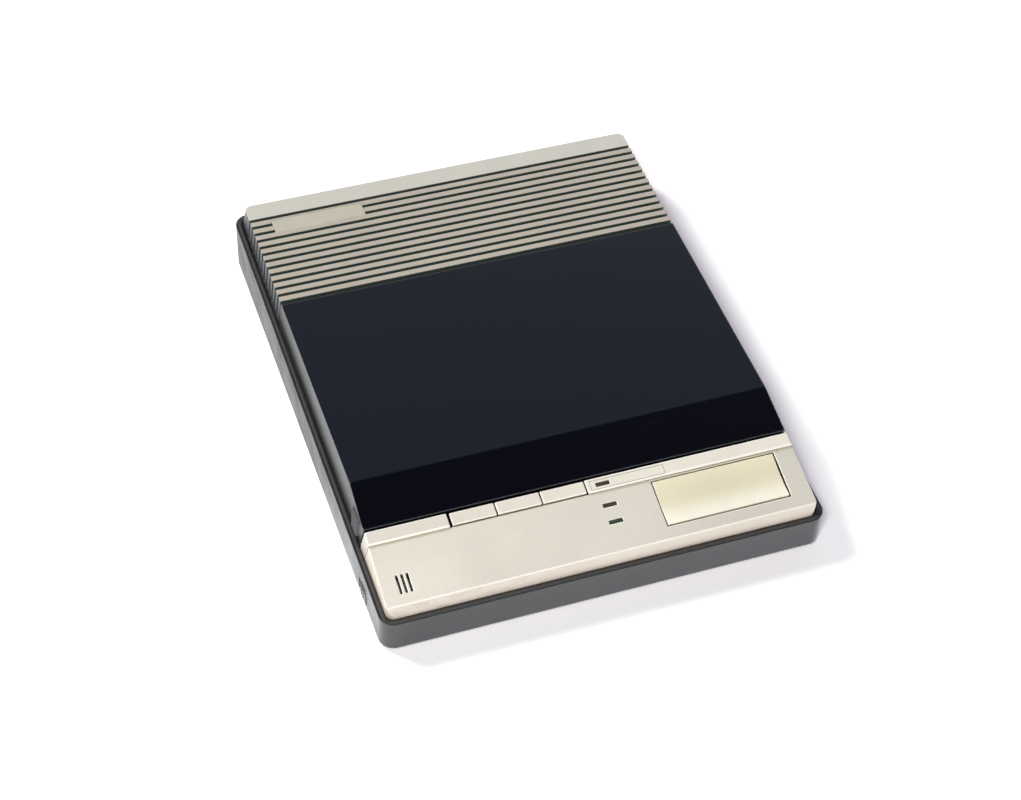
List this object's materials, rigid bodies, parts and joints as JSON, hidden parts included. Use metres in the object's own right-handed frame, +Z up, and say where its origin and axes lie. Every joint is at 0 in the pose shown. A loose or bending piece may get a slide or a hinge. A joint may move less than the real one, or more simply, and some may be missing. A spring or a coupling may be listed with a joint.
{
  "type": "telephone answering machine",
  "caption": "slim desktop answering machine with a hinged lid over two microcassette decks, sloped controls, a wide play bar, louvred rear and a low tray base",
  "frame": {"origin": "centre of the footprint, on the surface that the feet stand on", "axes": "+X to the right of someone facing the front controls, +Y to the rear, +Z up"},
  "size_m": [0.1689, 0.2088, 0.0316],
  "materials": {
    "charcoal": "fine-grained charcoal ABS",
    "silver": "champagne silver paint on ABS",
    "lid_black": "gloss black ABS",
    "bar_gold": "pale gold, dished",
    "badge": "bare plate",
    "red_lens": "dark red lamp, unlit",
    "green_lens": "dark green lamp, unlit",
    "black": "black ABS",
    "rubber": "rubber",
    "steel": "plated steel",
    "brass": "brass",
    "board": "green circuit board",
    "phenolic": "brown laminate",
    "dark_grey": "dark grey moulding",
    "cassette": "smoke grey shell",
    "tape": "brown tape on a hub",
    "white_plastic": "white acetal",
    "blue": "blue casing",
    "paper": "paper cone"
  },
  "bodies": {
    "machine": {"base_tray": "charcoal", "tray_walls": "charcoal", "feet": "rubber", "screws": "steel", "upper_housing": "silver", "key_strip": "silver", "front_panel": "silver", "lid_hinge_pins": "steel", "badge_plate": "badge", "key_springs": "steel", "key_board": "board", "message_led": "red_lens", "use_led": "red_lens", "power_led": "green_lens", "microphone": "steel", "volume_control": "phenolic", "switch_body": "steel", "line_jack": "black", "phone_jack": "black", "power_jack": "black", "speaker_frame": "steel", "speaker_cone": "paper", "main_board": "board", "processor": "black", "line_transformer": "steel", "board_parts": "blue", "tape_bay": "dark_grey", "deck_chassis": "steel", "capstan_bushes": "brass", "motor": "steel", "drive_belt": "rubber", "solenoids": "phenolic", "left_cassette": "cassette", "right_cassette": "cassette"},
    "lid": {"cassette_lid": "lid_black"},
    "memo": {"memo_key": "silver"},
    "rewind": {"rewind_key": "silver"},
    "forward": {"forward_key": "silver"},
    "play": {"play_bar": "bar_gold"},
    "dial": {"volume_dial": "black"},
    "knob": {"switch_knob": "black"},
    "rotor": {"motor_pulley": "brass"},
    "left_fly": {"left_flywheel": "steel"},
    "left_idle": {"left_idler": "rubber"},
    "left_takeup": {"left_takeup_reel": "white_plastic", "left_takeup_spool": "tape"},
    "left_supply": {"left_supply_reel": "white_plastic", "left_supply_spool": "tape"},
    "left_heads": {"left_head_carriage": "steel", "left_head": "steel"},
    "left_pinch": {"left_pinch_roller": "rubber"},
    "right_fly": {"right_flywheel": "steel"},
    "right_idle": {"right_idler": "rubber"},
    "right_takeup": {"right_takeup_reel": "white_plastic", "right_takeup_spool": "tape"},
    "right_supply": {"right_supply_reel": "white_plastic", "right_supply_spool": "tape"},
    "right_heads": {"right_head_carriage": "steel", "right_head": "steel"},
    "right_pinch": {"right_pinch_roller": "rubber"}
  },
  "joints": [
    {"name": "lid_hinge", "type": "hinge", "parent": "machine", "child": "lid", "pos_m": [0, 0.03955, 0.0286], "axis": [-1, 0, 0], "range_deg": [0, 70]},
    {"name": "memo_press", "type": "slide", "parent": "machine", "child": "memo", "axis": [0, 0.2367, -0.9716], "range_m": [0, 0.0012], "stiffness_N_per_m": 300, "springref_m": -0.0005, "deforming": ["key_springs"]},
    {"name": "rewind_press", "type": "slide", "parent": "machine", "child": "rewind", "axis": [0, 0.2367, -0.9716], "range_m": [0, 0.0012], "stiffness_N_per_m": 300, "springref_m": -0.0005, "deforming": ["key_springs"]},
    {"name": "forward_press", "type": "slide", "parent": "machine", "child": "forward", "axis": [0, 0.2367, -0.9716], "range_m": [0, 0.0012], "stiffness_N_per_m": 300, "springref_m": -0.0005, "deforming": ["key_springs"]},
    {"name": "play_press", "type": "slide", "parent": "machine", "child": "play", "axis": [0, 0.2367, -0.9716], "range_m": [0, 0.0015], "stiffness_N_per_m": 300, "springref_m": -0.0005, "deforming": ["key_springs"]},
    {"name": "dial_turn", "type": "hinge", "parent": "machine", "child": "dial", "pos_m": [-0.0748, -0.0805, 0.006], "axis": [0, 0, 1], "range_deg": [-135, 135]},
    {"name": "knob_slide", "type": "slide", "parent": "machine", "child": "knob", "axis": [1, 0, 0], "range_m": [0, 0.003]},
    {"name": "rotor_spin", "type": "hinge", "parent": "machine", "child": "rotor", "pos_m": [-0.008, -0.03395, 0.01], "axis": [0, 0, 1], "continuous": true},
    {"name": "left_fly_spin", "type": "hinge", "parent": "machine", "child": "left_fly", "pos_m": [-0.042, -0.01245, 0.012], "axis": [0, 0, 1], "continuous": true},
    {"name": "left_idle_spin", "type": "hinge", "parent": "machine", "child": "left_idle", "pos_m": [-0.0428, -0.00717, 0.017], "axis": [0, 0, 1], "continuous": true},
    {"name": "left_takeup_spin", "type": "hinge", "parent": "machine", "child": "left_takeup", "pos_m": [-0.0445, 0.00405, 0.017], "axis": [0, 0, 1], "continuous": true},
    {"name": "left_supply_spin", "type": "hinge", "parent": "machine", "child": "left_supply", "pos_m": [-0.0235, 0.00405, 0.017], "axis": [0, 0, 1], "continuous": true},
    {"name": "left_heads_slide", "type": "slide", "parent": "machine", "child": "left_heads", "axis": [0, 1, 0], "range_m": [0, 0.003], "stiffness_N_per_m": 100, "springref_m": -0.001},
    {"name": "left_pinch_spin", "type": "hinge", "parent": "left_heads", "child": "left_pinch", "pos_m": [-0.042, -0.01975, 0.024], "axis": [0, 0, 1], "continuous": true},
    {"name": "right_fly_spin", "type": "hinge", "parent": "machine", "child": "right_fly", "pos_m": [0.026, -0.01245, 0.012], "axis": [0, 0, 1], "continuous": true},
    {"name": "right_idle_spin", "type": "hinge", "parent": "machine", "child": "right_idle", "pos_m": [0.0252, -0.00717, 0.017], "axis": [0, 0, 1], "continuous": true},
    {"name": "right_takeup_spin", "type": "hinge", "parent": "machine", "child": "right_takeup", "pos_m": [0.0235, 0.00405, 0.017], "axis": [0, 0, 1], "continuous": true},
    {"name": "right_supply_spin", "type": "hinge", "parent": "machine", "child": "right_supply", "pos_m": [0.0445, 0.00405, 0.017], "axis": [0, 0, 1], "continuous": true},
    {"name": "right_heads_slide", "type": "slide", "parent": "machine", "child": "right_heads", "axis": [0, 1, 0], "range_m": [0, 0.003], "stiffness_N_per_m": 100, "springref_m": -0.001},
    {"name": "right_pinch_spin", "type": "hinge", "parent": "right_heads", "child": "right_pinch", "pos_m": [0.026, -0.01975, 0.024], "axis": [0, 0, 1], "continuous": true}
  ],
  "couplings": [
    {"joint": "left_idle_spin", "follows": "left_fly_spin", "ratio": -0.62614},
    {"joint": "left_takeup_spin", "follows": "left_fly_spin", "ratio": 0.25},
    {"joint": "left_supply_spin", "follows": "left_fly_spin", "ratio": 0.25},
    {"joint": "left_pinch_spin", "follows": "left_fly_spin", "ratio": -0.3125},
    {"joint": "right_idle_spin", "follows": "left_fly_spin", "ratio": -0.62614},
    {"joint": "right_takeup_spin", "follows": "left_fly_spin", "ratio": 0.25},
    {"joint": "right_supply_spin", "follows": "left_fly_spin", "ratio": 0.25},
    {"joint": "right_pinch_spin", "follows": "left_fly_spin", "ratio": -0.3125},
    {"joint": "right_fly_spin", "follows": "left_fly_spin", "ratio": 1},
    {"joint": "rotor_spin", "follows": "left_fly_spin", "ratio": 5}
  ]
}
